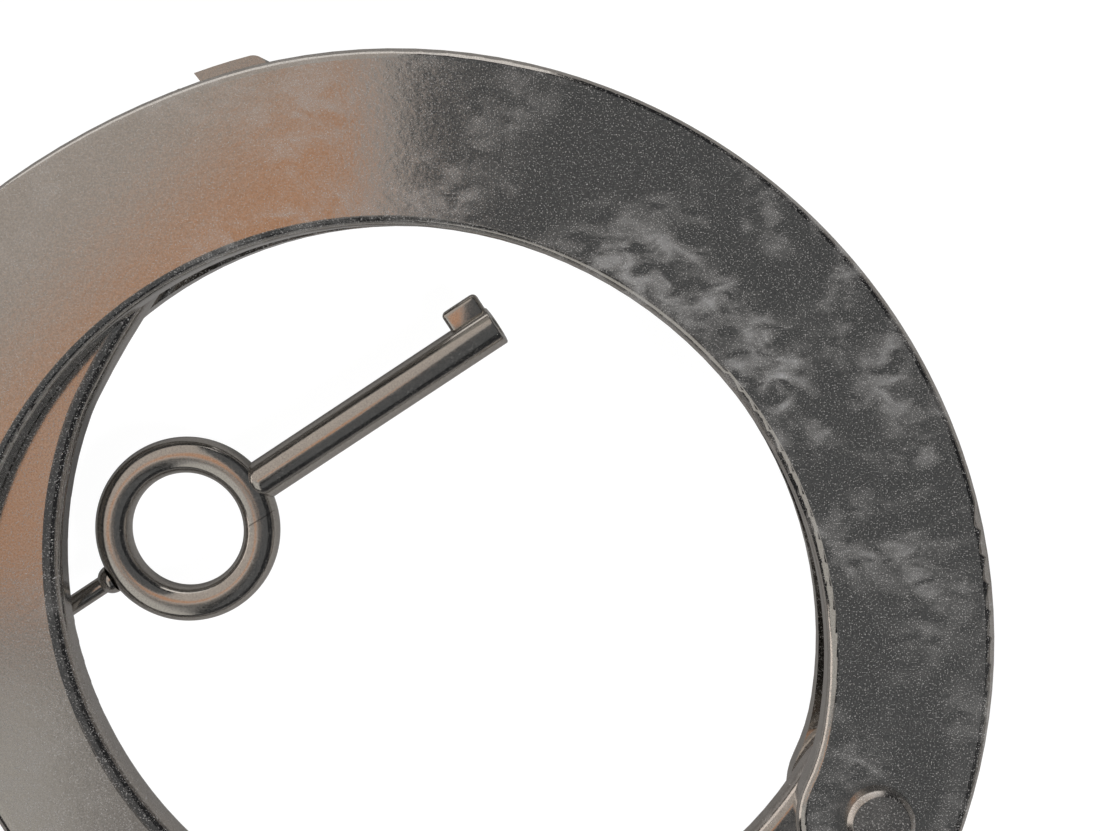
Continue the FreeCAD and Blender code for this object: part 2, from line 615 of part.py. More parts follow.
def cuff(side):
    spacer = case_spacer()
    pieces = {
        "front_cheek": front_cheek(),
        "rear_cheek": rear_cheek(),
        "jaw": jaw(),
        "pivot_rivet": pivot_rivet(),
        "case_rivets": case_rivets(),
        "case_spacer": spacer.copy(),
        "pawl": pawl(),
        "pawl_pin": pawl_pin(),
        "pawl_spring": pawl_spring(spacer),
        "double_lock_bar": double_lock_bar(),
        "detent_spring": detent_spring(spacer),
        "key_post": key_post(),
        "swivel": swivel(side == "b"),
    }
    return {name + "_" + side: place(shape, side) for name, shape in pieces.items()}


def chain():
    first = CHAIN_HALF - EYE_OUT - EYE_R + CONTACT
    second = first - LINK_PITCH + CONTACT
    return {"chain_link_1": chain_link(first, UP), "chain_link_2": chain_link(second, Vec(0, 1, 0))}


def key():
    bow = key_bow()
    pieces = {"key_barrel": key_barrel(bow), "key_pin": key_pin(bow), "key_bow": bow}
    return {name: place(shape, "a") for name, shape in pieces.items()}


def main():
    os.makedirs("parts", exist_ok=True)
    pieces = {**cuff("a"), **cuff("b"), **chain(), **key()}
    for name, shape in sorted(pieces.items()):
        shape.exportStep("parts/" + name + ".step")
        box = shape.BoundBox
        print(f"{name:20s} solids {len(shape.Solids)} volume {shape.Volume:9.2f} valid {shape.isValid()}"
              f" x {box.XMin:7.2f}..{box.XMax:7.2f} z {box.ZMin:6.2f}..{box.ZMax:6.2f}")


main()
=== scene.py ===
# %% [markdown]
# This lesson dresses a pair of handcuffs and their key.  The metal shapes arrive from the design model;
# the work here is the finish of the nickel, the rivets and chain links, and a studio's light table.
# Everything is in metres, and stays where the design model puts it.

# %% Load the design model, with a helper that measures a part's box
import json
import math
import bpy
from mathutils import Matrix, Vector


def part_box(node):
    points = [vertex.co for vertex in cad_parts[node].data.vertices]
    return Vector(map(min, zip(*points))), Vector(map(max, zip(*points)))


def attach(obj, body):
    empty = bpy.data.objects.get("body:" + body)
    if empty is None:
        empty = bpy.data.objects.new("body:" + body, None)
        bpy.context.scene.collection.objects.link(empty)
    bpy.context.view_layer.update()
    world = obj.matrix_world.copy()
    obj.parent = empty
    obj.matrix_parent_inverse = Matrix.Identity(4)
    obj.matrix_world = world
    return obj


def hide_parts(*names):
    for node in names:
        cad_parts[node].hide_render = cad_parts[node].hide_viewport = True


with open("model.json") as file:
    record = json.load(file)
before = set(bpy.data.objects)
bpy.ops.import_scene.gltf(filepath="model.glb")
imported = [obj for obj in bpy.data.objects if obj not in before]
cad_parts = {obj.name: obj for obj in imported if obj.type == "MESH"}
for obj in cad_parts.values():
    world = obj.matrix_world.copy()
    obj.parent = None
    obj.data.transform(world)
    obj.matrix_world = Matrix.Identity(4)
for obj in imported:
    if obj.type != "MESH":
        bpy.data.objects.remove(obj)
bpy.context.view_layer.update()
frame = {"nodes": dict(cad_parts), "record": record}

MM = 0.001


# %% [markdown]
# A node material is a small network: textures feed colour, roughness and bump of one metal shader.
# Two short helpers keep the networks readable: one adds a node and wires its inputs, one blends colours.

# %% Helpers for node networks


def add(tree, kind, inputs=None, **settings):
    """Adds a node; an input's value is a number, a colour or another node's output."""
    node = tree.nodes.new(kind)
    for name, value in settings.items():
        setattr(node, name, value)
    for name, value in (inputs or {}).items():
        if isinstance(value, bpy.types.NodeSocket):
            tree.links.new(value, node.inputs[name])
        else:
            node.inputs[name].default_value = value
    return node


def noise(tree, coords, scale, detail=2.0, distortion=0.0):
    """A noise pattern whose bumps are about 1/scale metres across."""
    settings = {"Vector": coords, "Scale": scale, "Detail": detail, "Distortion": distortion}
    return add(tree, "ShaderNodeTexNoise", settings).outputs[0]


def ramp(tree, value, low, high, start=0.0, end=1.0):
    """Maps value from low..high to start..end and clamps it."""
    sockets = {"Value": value, "From Min": low, "From Max": high, "To Min": start, "To Max": end}
    return add(tree, "ShaderNodeMapRange", sockets).outputs[0]


def maths(tree, operation, a, b):
    """One sum on two values or sockets."""
    node = add(tree, "ShaderNodeMath", {0: a, 1: b}, operation=operation)
    return node.outputs[0]


def blend(tree, amount, first, second):
    """A mix of two colours: amount 0 is the first, 1 is the second."""
    node = add(tree, "ShaderNodeMixRGB", {"Fac": amount, "Color1": first, "Color2": second})
    return node.outputs[0]


def rgba(r, g, b):
    """An opaque colour."""
    return (r, g, b, 1.0)


def new_material(name):
    """An empty material with one metal shader: returns the material, its tree, shader and coordinates."""
    material = bpy.data.materials.new(name)
    material.use_nodes = True
    tree = material.node_tree
    shader = tree.nodes["Principled BSDF"]
    coords = add(tree, "ShaderNodeTexCoord").outputs["Object"]
    return material, tree, shader, coords


print("helpers ready")

# %% [markdown]
# The cuffs are stamped from steel, tumbled and then nickel plated.  The plating follows every small pit of
# the tumbled surface, so the mirror is broken up by a fine grain, pale specks and a soft orange-peel wave.
# Handling leaves hazy smudges that scatter light.  Each of these is one noise pattern of its own size,
# so the mix can be tuned pattern by pattern, which a scan of real metal would not allow.

# %% The plated finish
# Patterns are given in bumps per metre, so a higher number is a finer pattern.
GRAIN, FINE_SPECKS, COARSE_SPECKS, PEEL_WAVE = 7000.0, 9500.0, 4600.0, 1700.0
SMUDGE_CLOUDS, SMUDGE_STROKES = 85.0, 480.0
BUMP_HEIGHT = 0.02 * MM
SPECK_COLOUR, SMUDGE_COLOUR = (0.34, 0.335, 0.33), (0.40, 0.42, 0.45)
HANDLED = (111.0 * MM, 17.0 * MM, 10.0 * MM)   # the part of the first arch that is held most


def nickel(name, light, dark, rough, peel=1.0, specks=1.0, smudge=1.0):
    """A nickel-plated finish: light and dark are the two tones of its grain."""
    material, tree, shader, coords = new_material(name)
    grain = noise(tree, coords, GRAIN, 3.0)
    # Pale specks of two sizes
    fine = ramp(tree, noise(tree, coords, FINE_SPECKS, 1.0), 0.58, 0.72)
    coarse = ramp(tree, noise(tree, coords, COARSE_SPECKS, 2.0), 0.67, 0.75)
    speck = maths(tree, "MULTIPLY", maths(tree, "MAXIMUM", fine, coarse), 0.75 * specks)
    # Smudges: soft clouds broken into wiping strokes, strongest where the cuff is held
    cloud = ramp(tree, noise(tree, coords, SMUDGE_CLOUDS, 3.0, 0.6), 0.47, 0.72)
    strokes = add(tree, "ShaderNodeMapping", {
        "Vector": coords, "Rotation": (0.0, 0.0, 0.9), "Scale": (1.0, 1.7, 1.0)})
    streak = ramp(tree, noise(tree, strokes.outputs[0], SMUDGE_STROKES, 8.0, 0.7), 0.40, 0.66)
    held = add(tree, "ShaderNodeVectorMath", {0: coords, 1: HANDLED}, operation="DISTANCE")
    touched = ramp(tree, held.outputs["Value"], 7.0 * MM, 23.0 * MM, 2.0, 0.45)
    strength = maths(tree, "MULTIPLY", touched, smudge)
    hazy = maths(tree, "MULTIPLY", maths(tree, "MULTIPLY", cloud, streak), strength)
    # Colour
    tone = blend(tree, ramp(tree, grain, 0.3, 0.7), rgba(*dark), rgba(*light))
    tone = blend(tree, maths(tree, "MULTIPLY", hazy, 0.6), tone, rgba(*SMUDGE_COLOUR))
    tone = blend(tree, speck, tone, rgba(*SPECK_COLOUR))
    tree.links.new(tone, shader.inputs["Base Color"])
    # Specks and smudges mirror less than the plating does
    dull = maths(tree, "ADD", maths(tree, "MULTIPLY", speck, 0.7), maths(tree, "MULTIPLY", hazy, 0.6))
    tree.links.new(maths(tree, "SUBTRACT", 1.0, dull), shader.inputs["Metallic"])
    worn = maths(tree, "MULTIPLY", hazy, 0.18)
    gloss = maths(tree, "ADD", ramp(tree, grain, 0.3, 0.7, rough - 0.04, rough + 0.05), worn)
    tree.links.new(gloss, shader.inputs["Roughness"])
    # Relief
    wave = noise(tree, coords, PEEL_WAVE, 2.0)
    height = maths(tree, "ADD", maths(tree, "MULTIPLY", grain, 0.35), wave)
    bump = add(tree, "ShaderNodeBump", {
        "Height": height, "Strength": 0.22 * peel, "Distance": BUMP_HEIGHT})
    tree.links.new(bump.outputs[0], shader.inputs["Normal"])
    return material


cheek_nickel = nickel("plated cheek", (0.62, 0.60, 0.575), (0.48, 0.465, 0.445), rough=0.09)
jaw_nickel = nickel("plated jaw", (0.62, 0.59, 0.56), (0.46, 0.44, 0.42), rough=0.13, smudge=1.2)
rivet_nickel = nickel("plated rivet", (0.66, 0.63, 0.60), (0.46, 0.44, 0.42), rough=0.22, smudge=0.5)
chain_nickel = nickel("plated chain", (0.68, 0.65, 0.61), (0.55, 0.52, 0.49), rough=0.16, smudge=0.4)
key_nickel = nickel("plated key", (0.68, 0.655, 0.62), (0.54, 0.515, 0.485), rough=0.15, peel=0.6,
                    specks=0.3, smudge=0.15)
print("nickel finishes", len(bpy.data.materials))

# %% [markdown]
# The key's ring is bent from wire and brazed shut, which leaves a hair-thin dark seam across it.
# The seam is a short line, so the finish measures how far each place is along it and across it.

# %% The brazed seam of the key's ring
SEAM_PLACE, SEAM_TURN = (69.58 * MM, 5.81 * MM, 0.0), 0.534
SEAM_COLOUR = (0.05, 0.04, 0.035)
bow_nickel = key_nickel.copy()
bow_nickel.name = "plated key ring"
tree = bow_nickel.node_tree
shader = tree.nodes["Principled BSDF"]
coords = add(tree, "ShaderNodeTexCoord").outputs["Object"]
seam = add(tree, "ShaderNodeMapping", {"Vector": coords}, vector_type="TEXTURE")
seam.inputs["Location"].default_value = SEAM_PLACE
seam.inputs["Rotation"].default_value = (0.0, 0.0, SEAM_TURN)
offsets = add(tree, "ShaderNodeSeparateXYZ", {"Vector": seam.outputs[0]})
wobble = ramp(tree, noise(tree, coords, 900.0), 0.0, 1.0, -0.12 * MM, 0.12 * MM)
across = maths(tree, "ABSOLUTE", maths(tree, "ADD", offsets.outputs["Y"], wobble), 0.0)
along = maths(tree, "ABSOLUTE", offsets.outputs["X"], 0.0)
line = ramp(tree, across, 0.03 * MM, 0.07 * MM, 0.55, 0.0)
line = maths(tree, "MULTIPLY", line, ramp(tree, along, 1.0 * MM, 1.25 * MM, 1.0, 0.0))
plated = shader.inputs["Base Color"].links[0].from_socket
tree.links.new(blend(tree, line, plated, rgba(*SEAM_COLOUR)), shader.inputs["Base Color"])
print("seam drawn in", bow_nickel.name)

# %% [markdown]
# Inside the lock case sit parts that are never plated: machined steel with fine parallel marks, and blued
# springs.  Stretching a noise pattern along one direction turns its spots into long brushed lines.

# %% The lock's bare steel


def brushed(name, light, dark, rough):
    """Machined steel with marks along X."""
    material, tree, shader, coords = new_material(name)
    stretched = add(tree, "ShaderNodeMapping", {"Vector": coords, "Scale": (300.0, 9000.0, 9000.0)})
    marks = noise(tree, stretched.outputs[0], 1.0, 3.0)
    stain = noise(tree, coords, 400.0, 4.0)
    tone = blend(tree, marks, rgba(*dark), rgba(*light))
    tone = blend(tree, ramp(tree, stain, 0.45, 0.8, 0.0, 0.5), tone, rgba(*dark))
    tree.links.new(tone, shader.inputs["Base Color"])
    shader.inputs["Metallic"].default_value = 1.0
    tree.links.new(ramp(tree, marks, 0.3, 0.7, rough - 0.08, rough + 0.1), shader.inputs["Roughness"])
    bump = add(tree, "ShaderNodeBump", {"Height": marks, "Strength": 0.3, "Distance": BUMP_HEIGHT})
    tree.links.new(bump.outputs[0], shader.inputs["Normal"])
    return material


lock_steel = brushed("lock steel", (0.58, 0.57, 0.56), (0.36, 0.35, 0.35), 0.32)
spring_steel = brushed("blued spring", (0.16, 0.19, 0.28), (0.08, 0.09, 0.14), 0.28)
finishes = {
    "nickel_cheek": cheek_nickel,
    "nickel_jaw": jaw_nickel,
    "nickel_rivet": rivet_nickel,
    "nickel_chain": chain_nickel,
    "nickel_key": key_nickel,
    "lock_steel": lock_steel,
    "spring_steel": spring_steel,
}
for part in frame["record"]["subparts"]:
    node = frame["nodes"][part["node"]]
    node.material_slots[0].material = finishes[part["material_slot"]]

# %% [markdown]
# A rivet's head is turned: every slice across it is a round.  Its outline is drawn once and swept round its
# own axis.  The same rivet then repeats wherever the case is closed, which is a job for Geometry Nodes:
# one instance on each point, with a random turn, made into plain mesh at the end.

# %% The turned rivet
FRONT = 10.2        # height of the front cheek's face, in millimetres


def turned(name, profile, steps=96):
    """A surface of revolution about Z through (radius, height) points that start and end on the axis."""
    inner = profile[1:-1]
    vertices = [(0.0, 0.0, profile[0][1]), (0.0, 0.0, profile[-1][1])]
    for r, z in inner:
        turns = (2 * math.pi * i / steps for i in range(steps))
        vertices += [(r * math.cos(a), r * math.sin(a), z) for a in turns]
    faces = []
    for i in range(steps):
        j = (i + 1) % steps
        faces.append((0, 2 + j, 2 + i))
        top = 2 + (len(inner) - 1) * steps
        faces.append((1, top + i, top + j))
        for k in range(len(inner) - 1):
            low = 2 + k * steps
            faces.append((low + i, low + j, low + steps + j, low + steps + i))
    mesh = bpy.data.meshes.new(name)
    mesh.from_pydata(vertices, [], faces)
    mesh.update()
    return bpy.data.objects.new(name, mesh)


def corner(r, z, size, start, end, steps=6):
    """Points of a rounded corner about (r, z), from angle start to end in degrees."""
    angles = (math.radians(start + (end - start) * i / steps) for i in range(steps + 1))
    return [(r + size * math.cos(a), z + size * math.sin(a)) for a in angles]


def rivet_profile(shank, head, rise):
    """Flush rear end, shank, and a raised front head with a soft bevel; millimetres in, metres out."""
    soft, bevel_deep, bevel_wide = 0.12, 0.3, 0.34
    top = FRONT + rise
    points = [(0, 0), (shank + 0.7, 0), (shank, 0.8), (shank, FRONT - 0.01), (head, FRONT)]
    points += corner(head - soft, top - bevel_deep - soft / 2, soft, 0, 45, 4)
    points += corner(head - bevel_wide - soft, top - soft, soft, 45, 90, 4)
    points += [(head * 0.5, top), (0, top)]
    return [(r * MM, z * MM) for r, z in points]


PIVOT_RIVET = rivet_profile(2.1, 2.52, 1.1)
CASE_RIVET = rivet_profile(1.3, 1.75, 0.6)
print("outline points of a rivet", len(PIVOT_RIVET))

# %% [markdown]
# The node group takes points and one rivet, and puts the rivet on each point.  Its inputs are named, so a
# reader can change the rivet or the seed without opening the group.

# %% Rivets on points


def group_with(name, inputs):
    """A geometry node group with the given extra inputs, its input node and its output node."""
    group = bpy.data.node_groups.new(name, "GeometryNodeTree")
    group.interface.new_socket("Geometry", in_out="INPUT", socket_type="NodeSocketGeometry")
    for label, kind in inputs:
        group.interface.new_socket(label, in_out="INPUT", socket_type=kind)
    group.interface.new_socket("Geometry", in_out="OUTPUT", socket_type="NodeSocketGeometry")
    return group, add(group, "NodeGroupInput"), add(group, "NodeGroupOutput")


rivets_group, start, end = group_with("Rivets on points", [
    ("Rivet", "NodeSocketObject"), ("Seed", "NodeSocketInt"), ("Finish", "NodeSocketMaterial")])
source = add(rivets_group, "GeometryNodeObjectInfo", {"Object": start.outputs["Rivet"]})
turn = add(rivets_group, "FunctionNodeRandomValue", {"Seed": start.outputs["Seed"]}, data_type="FLOAT")
turn.inputs[3].default_value = 2 * math.pi
around = add(rivets_group, "ShaderNodeCombineXYZ", {"Z": turn.outputs[1]})
placed = add(rivets_group, "GeometryNodeInstanceOnPoints", {
    "Points": start.outputs["Geometry"], "Instance": source.outputs["Geometry"],
    "Rotation": around.outputs[0]})
solid = add(rivets_group, "GeometryNodeRealizeInstances", {"Geometry": placed.outputs[0]})
dressed = add(rivets_group, "GeometryNodeSetMaterial", {
    "Geometry": solid.outputs[0], "Material": start.outputs["Finish"]})
rivets_group.links.new(dressed.outputs[0], end.inputs[0])


def made_by(name, mesh, group, values):
    """Runs a node group on a mesh and returns the result as a plain object."""
    carrier = bpy.data.objects.new(name + " carrier", mesh)
    bpy.context.collection.objects.link(carrier)
    modifier = carrier.modifiers.new("Build", "NODES")
    modifier.node_group = group
    for item in group.interface.items_tree:
        if item.in_out == "INPUT" and item.name in values:
            modifier[item.identifier] = values[item.name]
    carrier.update_tag()
    bpy.context.view_layer.update()
    shaped = carrier.evaluated_get(bpy.context.evaluated_depsgraph_get())
    result = bpy.data.objects.new(name, bpy.data.meshes.new_from_object(shaped))
    bpy.context.collection.objects.link(result)
    bpy.data.objects.remove(carrier)
    result.data.name = name
    return result


def smooth_by_angle(piece, degrees=30.0):
    """Smooth faces, with sharp edges where the surface turns by more than the angle."""
    piece.data.shade_smooth()
    piece.data.set_sharp_from_angle(angle=math.radians(degrees))


# Millimetres: the first arch's centre in the scene, and the rivets' places from an arch's centre
ARCH = (80.825, -3.0)
CASE_RIVETS = [(-36.7, 25.0), (-43.9, -7.4), (-51.6, 12.4)]
PIVOT = (35.56, -13.04)


def ring_point(x, y, side):
    """A place measured from a cuff's arch centre, in the scene; the second cuff is turned half round."""
    point = Vector(((x + ARCH[0]) * MM, (y + ARCH[1]) * MM, 0.0))
    return point if side == "a" else Vector((-point.x, -point.y, 0.0))


for kind, profile, places in (
        ("pivot_rivet", PIVOT_RIVET, [PIVOT]),
        ("case_rivets", CASE_RIVET, CASE_RIVETS)):
    one = turned("one " + kind, profile)
    bpy.context.collection.objects.link(one)
    for side in "ab":
        points = bpy.data.meshes.new("points")
        points.from_pydata([ring_point(x, y, side) for x, y in places], [], [])
        values = {"Rivet": one, "Seed": ord(side), "Finish": rivet_nickel}
        piece = made_by(kind + "_" + side + "_look", points, rivets_group, values)
        smooth_by_angle(piece)
        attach(piece, "cuff_" + side)
        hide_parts(kind + "_" + side)
        print(piece.name, len(piece.data.polygons), "faces")
    bpy.data.objects.remove(one)

# %% [markdown]
# The key is a ring, a hollow barrel and a bit, brazed together.  The ring's face is gently crowned, so it
# shades from light to dark across the wire; a flat ring would be one flat tone.  Its section is a squarish
# round, swept about the ring's centre.  The barrel is turned about its own length, with a domed closed end.

# %% The key's ring, barrel and bit
BOW = Vector((63.595 * MM, 4.9 * MM, 1.6 * MM))     # the ring's centre
KEY_TURN = math.radians(32.6)


def swept_ring(name, centre, mean_r, half_width, half_height, power, steps=160, around=48):
    """A ring whose section is a superellipse: power 2 is round, a higher power is squarer."""
    section = []
    for k in range(around):
        c, d = math.cos(2 * math.pi * k / around), math.sin(2 * math.pi * k / around)
        x = math.copysign(abs(c) ** (2 / power), c) * half_width
        section.append((mean_r + x, math.copysign(abs(d) ** (2 / power), d) * half_height))
    vertices = []
    for i in range(steps):
        a = 2 * math.pi * i / steps
        c, d = math.cos(a), math.sin(a)
        vertices += [(centre.x + r * c, centre.y + r * d, centre.z + z) for r, z in section]
    faces = []
    for i in range(steps):
        j = (i + 1) % steps
        for k in range(around):
            m = (k + 1) % around
            faces.append((i * around + k, j * around + k, j * around + m, i * around + m))
    mesh = bpy.data.meshes.new(name)
    mesh.from_pydata(vertices, [], faces)
    mesh.shade_smooth()
    piece = bpy.data.objects.new(name, mesh)
    bpy.context.collection.objects.link(piece)
    return piece


def keyed(piece, material, node):
    """Gives a piece of the key its finish and its place in the frame."""
    piece.data.materials.clear()
    piece.data.materials.append(material)
    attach(piece, "key")
    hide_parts(node)
    print(piece.name, len(piece.data.polygons), "faces")


ring_r, half_wide, half_high, squareness = 5.85, 1.40, 1.40, 2.5
bow = swept_ring("key_bow_look", BOW, ring_r * MM, half_wide * MM, half_high * MM, squareness)
keyed(bow, bow_nickel, "key_bow")

# Millimetres, from the ring's centre towards the tip
barrel_r, bore_r, root, tip = 1.6, 0.9, 5.9, 29.1
dome, lip, bore_lip = 1.25, 0.12, 0.1
outline = [(0, root)] + corner(barrel_r - dome, root + dome, dome, -90, 0, 10)
outline += corner(barrel_r - lip, tip - lip, lip, 0, 90, 4)
outline += corner(bore_r + bore_lip, tip - bore_lip, bore_lip, 90, 180, 4)
outline += [(bore_r, 15.0), (0, 14.6)]
barrel = turned("key_barrel_look", [(r * MM, x * MM) for r, x in outline], 72)
bpy.context.collection.objects.link(barrel)
bpy.ops.mesh.primitive_cube_add(size=1.0)
bit = bpy.context.object
bit_high, bit_thick, bit_long, bit_back, bit_round = 3.0, 1.3, 3.1, 0.1, 0.42
bit.data.transform(Matrix.Diagonal((bit_high * MM, bit_thick * MM, bit_long * MM, 1.0)))
bit.location = (1.55 * MM, 0.0, (tip - bit_back - bit_long / 2) * MM)
rounding = bit.modifiers.new("Round", "BEVEL")
rounding.width = bit_round * MM
rounding.segments = 5
bpy.context.view_layer.update()
bpy.ops.object.modifier_apply(modifier=rounding.name)
bpy.ops.object.select_all(action="DESELECT")
bit.select_set(True)
barrel.select_set(True)
bpy.context.view_layer.objects.active = barrel
bpy.ops.object.join()
upright = Matrix(((0, 0, 1), (1, 0, 0), (0, 1, 0))).to_4x4()     # its own length becomes X
barrel.data.transform(Matrix.Translation(BOW) @ Matrix.Rotation(KEY_TURN, 4, "Z") @ upright)
smooth_by_angle(barrel)
keyed(barrel, key_nickel, "key_barrel")

# %% [markdown]
# A chain link is a round wire bent into a long loop and welded on one side.  A circle whose two halves are
# pulled apart is that loop; a small circle swept along it is the wire, a little thicker at the weld.
# One node group makes both links, because they differ only in the way that they are turned.

# %% Chain links
link_group, start, end = group_with("Welded link", [
    ("Wire radius", "NodeSocketFloat"), ("End radius", "NodeSocketFloat"),
    ("Half straight", "NodeSocketFloat"), ("Weld", "NodeSocketFloat"),
    ("Place", "NodeSocketVector"), ("Turn", "NodeSocketVector"), ("Finish", "NodeSocketMaterial")])
loop = add(link_group, "GeometryNodeCurvePrimitiveCircle", {
    "Resolution": 96, "Radius": start.outputs["End radius"]})
position = add(link_group, "GeometryNodeInputPosition").outputs[0]
where = add(link_group, "ShaderNodeSeparateXYZ", {"Vector": position})
half = maths(link_group, "SIGN", where.outputs["X"], 0.0)
shift = maths(link_group, "MULTIPLY", half, start.outputs["Half straight"])
offset = add(link_group, "ShaderNodeCombineXYZ", {"X": shift})
oval = add(link_group, "GeometryNodeSetPosition", {
    "Geometry": loop.outputs["Curve"], "Offset": offset.outputs[0]})
even = add(link_group, "GeometryNodeResampleCurve", {"Curve": oval.outputs[0], "Count": 220})
near = ramp(link_group, maths(link_group, "ABSOLUTE", where.outputs["X"], 0.0), 0.3 * MM, 0.9 * MM, 1.0, 0.0)
upper = maths(link_group, "GREATER_THAN", where.outputs["Y"], 0.0)
swell = maths(link_group, "MULTIPLY", maths(link_group, "MULTIPLY", near, upper), start.outputs["Weld"])
thick = add(link_group, "GeometryNodeSetCurveRadius", {
    "Curve": even.outputs[0], "Radius": maths(link_group, "ADD", swell, 1.0)})
wire = add(link_group, "GeometryNodeCurvePrimitiveCircle", {
    "Resolution": 40, "Radius": start.outputs["Wire radius"]})
swept = add(link_group, "GeometryNodeCurveToMesh", {
    "Curve": thick.outputs[0], "Profile Curve": wire.outputs["Curve"]})
moved = add(link_group, "GeometryNodeTransform", {
    "Geometry": swept.outputs[0], "Translation": start.outputs["Place"], "Rotation": start.outputs["Turn"]})
solid = add(link_group, "GeometryNodeRealizeInstances", {"Geometry": moved.outputs[0]})
dressed = add(link_group, "GeometryNodeSetMaterial", {
    "Geometry": solid.outputs[0], "Material": start.outputs["Finish"]})
link_group.links.new(dressed.outputs[0], end.inputs[0])

for name, turn_x in (("chain_link_1", 0.0), ("chain_link_2", math.pi / 2)):
    low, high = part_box(name)
    length, height = high[0] - low[0], max(high[1] - low[1], high[2] - low[2])
    wire_r = min(high[1] - low[1], high[2] - low[2]) / 2
    end_r = height / 2 - wire_r
    centre = tuple((low[i] + high[i]) / 2 for i in range(3))
    values = {"Wire radius": wire_r, "End radius": end_r, "Half straight": length / 2 - height / 2,
              "Weld": 0.05, "Place": centre, "Turn": (turn_x, 0.0, 0.0), "Finish": chain_nickel}
    piece = made_by(name + "_look", bpy.data.meshes.new("empty"), link_group, values)
    piece.data.shade_smooth()
    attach(piece, name)
    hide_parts(name)
    print(name, "length", round(length / MM, 2), "mm, wire", round(wire_r * 2 / MM, 2), "mm")

# %% [markdown]
# The cuffs lie on a table that is pure white in the finished render.  White that is this bright would wash
# out the rounded edges of the nickel, so two sheets are used: a white one that only the camera sees, and
# under it a grey one that only the metal mirrors.  A white shell round the table, seen by the camera only,
# carries the white on past the table's edge.  All three are staging and not part of the object.

# %% The white table and the grey card


def sheet(name, z, tone, glow):
    """A wide sheet of fibrous paper at height z that also glows a little."""
    bpy.ops.mesh.primitive_plane_add(size=20.0, location=(0.0, 0.0, z))
    piece = bpy.context.object
    piece.name = name
    paper, tree, shader, coords = new_material(name)
    fibre = noise(tree, coords, 500.0, 4.0)
    tones = (rgba(*(0.95 * c for c in tone)), rgba(*(1.05 * c for c in tone)))
    tree.links.new(blend(tree, fibre, *tones), shader.inputs["Base Color"])
    shader.inputs["Roughness"].default_value = 0.9
    shader.inputs["Emission Color"].default_value = rgba(1.0, 1.0, 1.0)
    shader.inputs["Emission Strength"].default_value = glow
    piece.data.materials.append(paper)
    return piece


SHELL_RADIUS = 8.0
white = sheet("white table", -0.35 * MM, (0.08, 0.08, 0.08), 0.98)
bpy.ops.mesh.primitive_uv_sphere_add(segments=64, ring_count=32, radius=SHELL_RADIUS)
shell = bpy.context.object
shell.name = "white shell"
shell.data.materials.append(white.data.materials[0])
for piece in (white, shell):
    piece.visible_glossy = False
    piece.visible_diffuse = False
    piece.visible_shadow = False
card = sheet("grey card", -0.5 * MM, (0.20, 0.19, 0.18), 0.10)
card.visible_camera = False
print("staging", white.name, shell.name, card.name)

# %% [markdown]
# Polished metal shows what stands round it.  The room is nearly dark, which keeps the rounded edges black.
# A dim ceiling over the right makes the plates charcoal, and a large warm screen over the left makes them
# beige with an orange border and a pale rim.  Smaller screens light the jaw and the key's ring.
# Each screen is a plane that glows by a gradient along its diagonal, hidden from the camera itself.

# %% The dark room and the screens overhead
world = bpy.data.worlds.new("dark room")
bpy.context.scene.world = world
world.use_nodes = True
world.node_tree.nodes["Background"].inputs["Color"].default_value = rgba(0.025, 0.026, 0.028)
world.node_tree.nodes["Background"].inputs["Strength"].default_value = 1.0


def glowing(name, corners, paint):
    """A glowing sheet through four corners in millimetres, unseen by the camera; paint gives its colour."""
    mesh = bpy.data.meshes.new(name)
    mesh.from_pydata([tuple(c * MM for c in corner) for corner in corners], [], [(0, 1, 2, 3)])
    piece = bpy.data.objects.new(name, mesh)
    bpy.context.collection.objects.link(piece)
    material, tree, shader, coords = new_material(name)
    shader.inputs["Base Color"].default_value = rgba(0.0, 0.0, 0.0)
    tree.links.new(paint(tree, coords), shader.inputs["Emission Color"])
    shader.inputs["Emission Strength"].default_value = 1.0
    mesh.materials.append(material)
    piece.visible_camera = False


def screen(name, x, y, z, colours, along=(0.0, 1.0)):
    """A screen over x and y ranges at height z: its colour runs between two distances X - Y."""
    def paint(tree, coords):
        place = add(tree, "ShaderNodeSeparateXYZ", {"Vector": coords})
        diagonal = maths(tree, "SUBTRACT", place.outputs["X"], place.outputs["Y"])
        amount = ramp(tree, diagonal, along[0] * MM, along[1] * MM)
        return blend(tree, amount, rgba(*colours[0]), rgba(*colours[1]))

    glowing(name, [(x[0], y[0], z), (x[0], y[1], z), (x[1], y[1], z), (x[1], y[0], z)], paint)


warm = ((0.50, 0.45, 0.405), (0.62, 0.34, 0.20))
screen("warm screen", (-600.0, 34.0), (-73.0, 700.0), 400.0, warm, (-84.0, -42.0))
pale = ((0.52, 0.49, 0.465), (0.52, 0.49, 0.465))
screen("pale strip", (26.0, 39.0), (-73.0, 700.0), 399.0, pale)
grey = ((0.36, 0.345, 0.33), (0.24, 0.235, 0.23))
screen("grey screen", (-600.0, -25.0), (-700.0, -73.0), 400.0, grey, (0.0, 300.0))
bright = ((0.54, 0.525, 0.49), (0.54, 0.525, 0.49))
screen("bright screen", (-600.0, -62.0), (-700.0, -96.0), 399.0, bright)
fading = ((0.82, 0.78, 0.73), (0.11, 0.11, 0.108))
screen("key reflector", (-54.0, 34.0), (-110.0, -24.0), 398.0, fading, (-15.0, 45.0))
dim = ((0.088, 0.092, 0.096), (0.088, 0.092, 0.096))
screen("dim ceiling", (36.0, 330.0), (-420.0, 420.0), 401.0, dim)

# %% [markdown]
# Steep faces, such as the rims and the side of the key's barrel, mirror what stands low round the table.
# Upright walls give them something to show: bright ones at the left and behind, dim ones at the right and
# in front, so that a round piece shades from light to dark across its width.

# %% The walls round the table


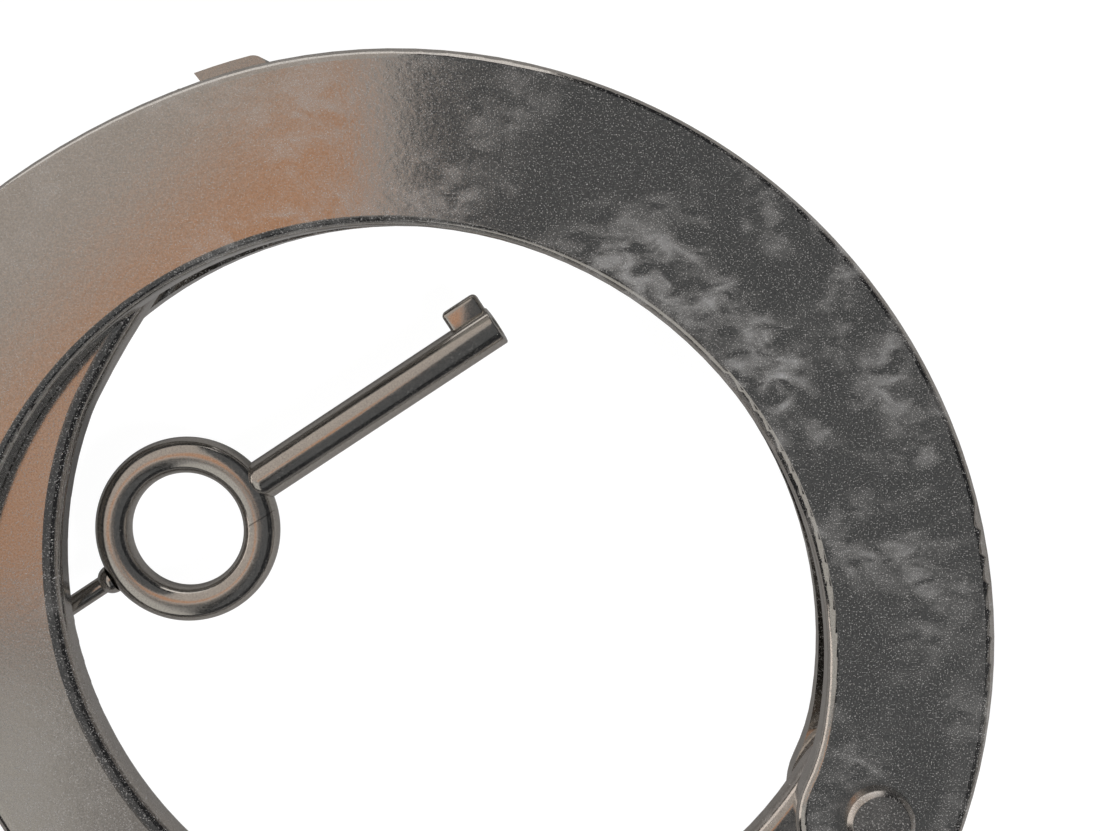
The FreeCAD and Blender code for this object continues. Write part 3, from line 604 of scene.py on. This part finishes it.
def wall(name, start, end, high, colour):
    """A softly uneven glowing wall between two places on the table, in millimetres."""
    def paint(tree, coords):
        dim = tuple(0.7 * c for c in colour)
        return blend(tree, noise(tree, coords, 6.0, 2.0), rgba(*dim), rgba(*colour))

    glowing(name, [(*start, 0.0), (*end, 0.0), (*end, high), (*start, high)], paint)


wall("left wall", (-700.0, -250.0), (-700.0, 700.0), 420.0, (1.30, 1.18, 1.08))
wall("back wall", (-700.0, 720.0), (250.0, 720.0), 420.0, (1.20, 1.15, 1.10))
wall("right wall", (900.0, -500.0), (900.0, 700.0), 300.0, (0.17, 0.16, 0.15))
wall("front wall", (-700.0, -720.0), (900.0, -720.0), 250.0, (0.20, 0.195, 0.19))

# %% [markdown]
# Two soft boxes stand low at the sides.  They are hidden from mirror reflections, so they make no hard
# glints, and only light what scatters: the pale specks and the hazy smudges.

# %% Soft boxes


def soft_box(name, place, size, power, colour):
    """A square area light that faces the cuff with the key in it."""
    light = bpy.data.lights.new(name, "AREA")
    light.shape = "SQUARE"
    light.size = size
    light.energy = power
    light.color = colour
    piece = bpy.data.objects.new(name, light)
    piece.location = place
    aim = Vector((0.08, 0.0, 0.0)) - piece.location
    piece.rotation_euler = aim.to_track_quat("-Z", "Y").to_euler()
    piece.visible_glossy = False
    bpy.context.collection.objects.link(piece)


soft_box("right soft box", Vector((0.55, -0.25, 0.38)), 0.25, 5.0, (0.98, 0.99, 1.0))
soft_box("left soft box", Vector((-0.35, 0.42, 0.30)), 0.25, 2.6, (1.0, 0.97, 0.94))

# %% [markdown]
# The camera hangs almost straight above one cuff, close enough to fill the frame with its upper right part.
# A slightly long lens keeps the plates flat while still showing the inside of the arch.

# %% Camera
lens = bpy.data.cameras.new("camera")
lens.sensor_width = 36.0
lens.lens = 63.36
lens.clip_start = 0.01
camera = bpy.data.objects.new("camera", lens)
camera.location = (98.045 * MM, 27.03 * MM, 150.66 * MM)
camera.rotation_euler = (-0.091, 0.0385, -0.0144)
bpy.context.collection.objects.link(camera)
bpy.context.scene.camera = camera
bpy.context.scene.view_settings.view_transform = "Standard"
print("camera", [round(c / MM, 1) for c in camera.location])
